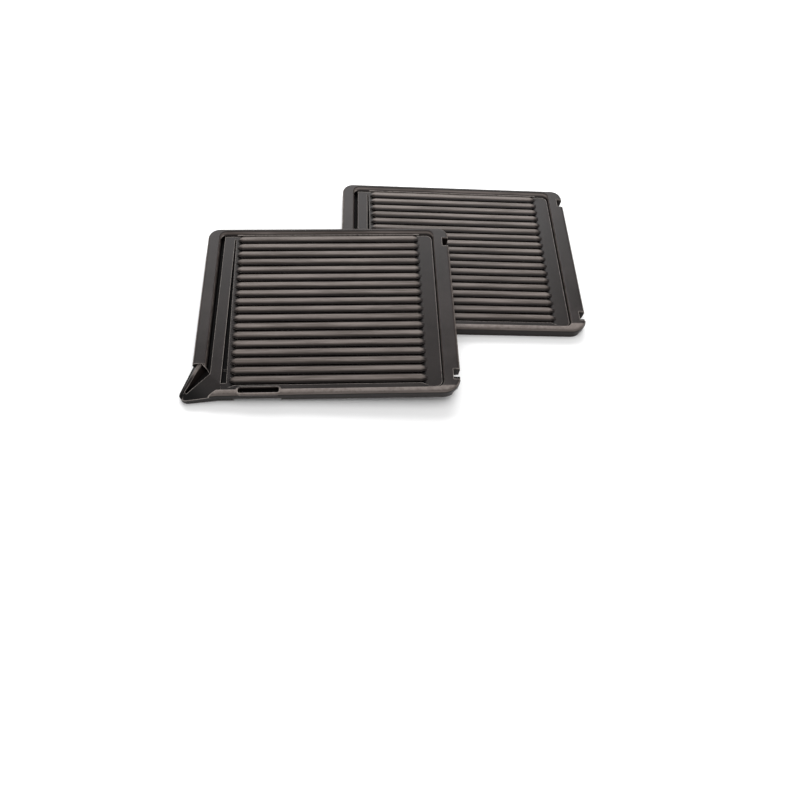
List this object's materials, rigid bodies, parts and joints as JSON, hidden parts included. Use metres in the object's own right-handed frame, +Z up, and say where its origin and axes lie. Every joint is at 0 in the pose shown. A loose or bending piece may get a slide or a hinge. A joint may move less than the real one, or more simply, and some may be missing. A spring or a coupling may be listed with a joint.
{
  "type": "removable grill plates of a contact grill",
  "caption": "Pair of ribbed, non-stick coated die-cast grill plates with fat gutter and corner pouring spout, one resting across the other.",
  "frame": {"origin": "on the surface that the pair lies on, below the middle of the pair's bounding box", "axes": "+X along the grill bars towards the hinge side, +Y towards the far edge of the plates, +Z up out of the surface"},
  "size_m": [0.3968, 0.2838, 0.0279],
  "materials": {
    "coated_casting": "dark brown-grey satin non-stick coating on die-cast aluminium"
  },
  "bodies": {
    "lower_plate": {"lower_grill_plate": "coated_casting"},
    "upper_plate": {"upper_grill_plate": "coated_casting"}
  },
  "joints": [
    {"name": "upper_plate_lift", "type": "slide", "parent": "lower_plate", "child": "upper_plate", "axis": [0, 0, 1], "range_m": [0, 0.12]}
  ]
}
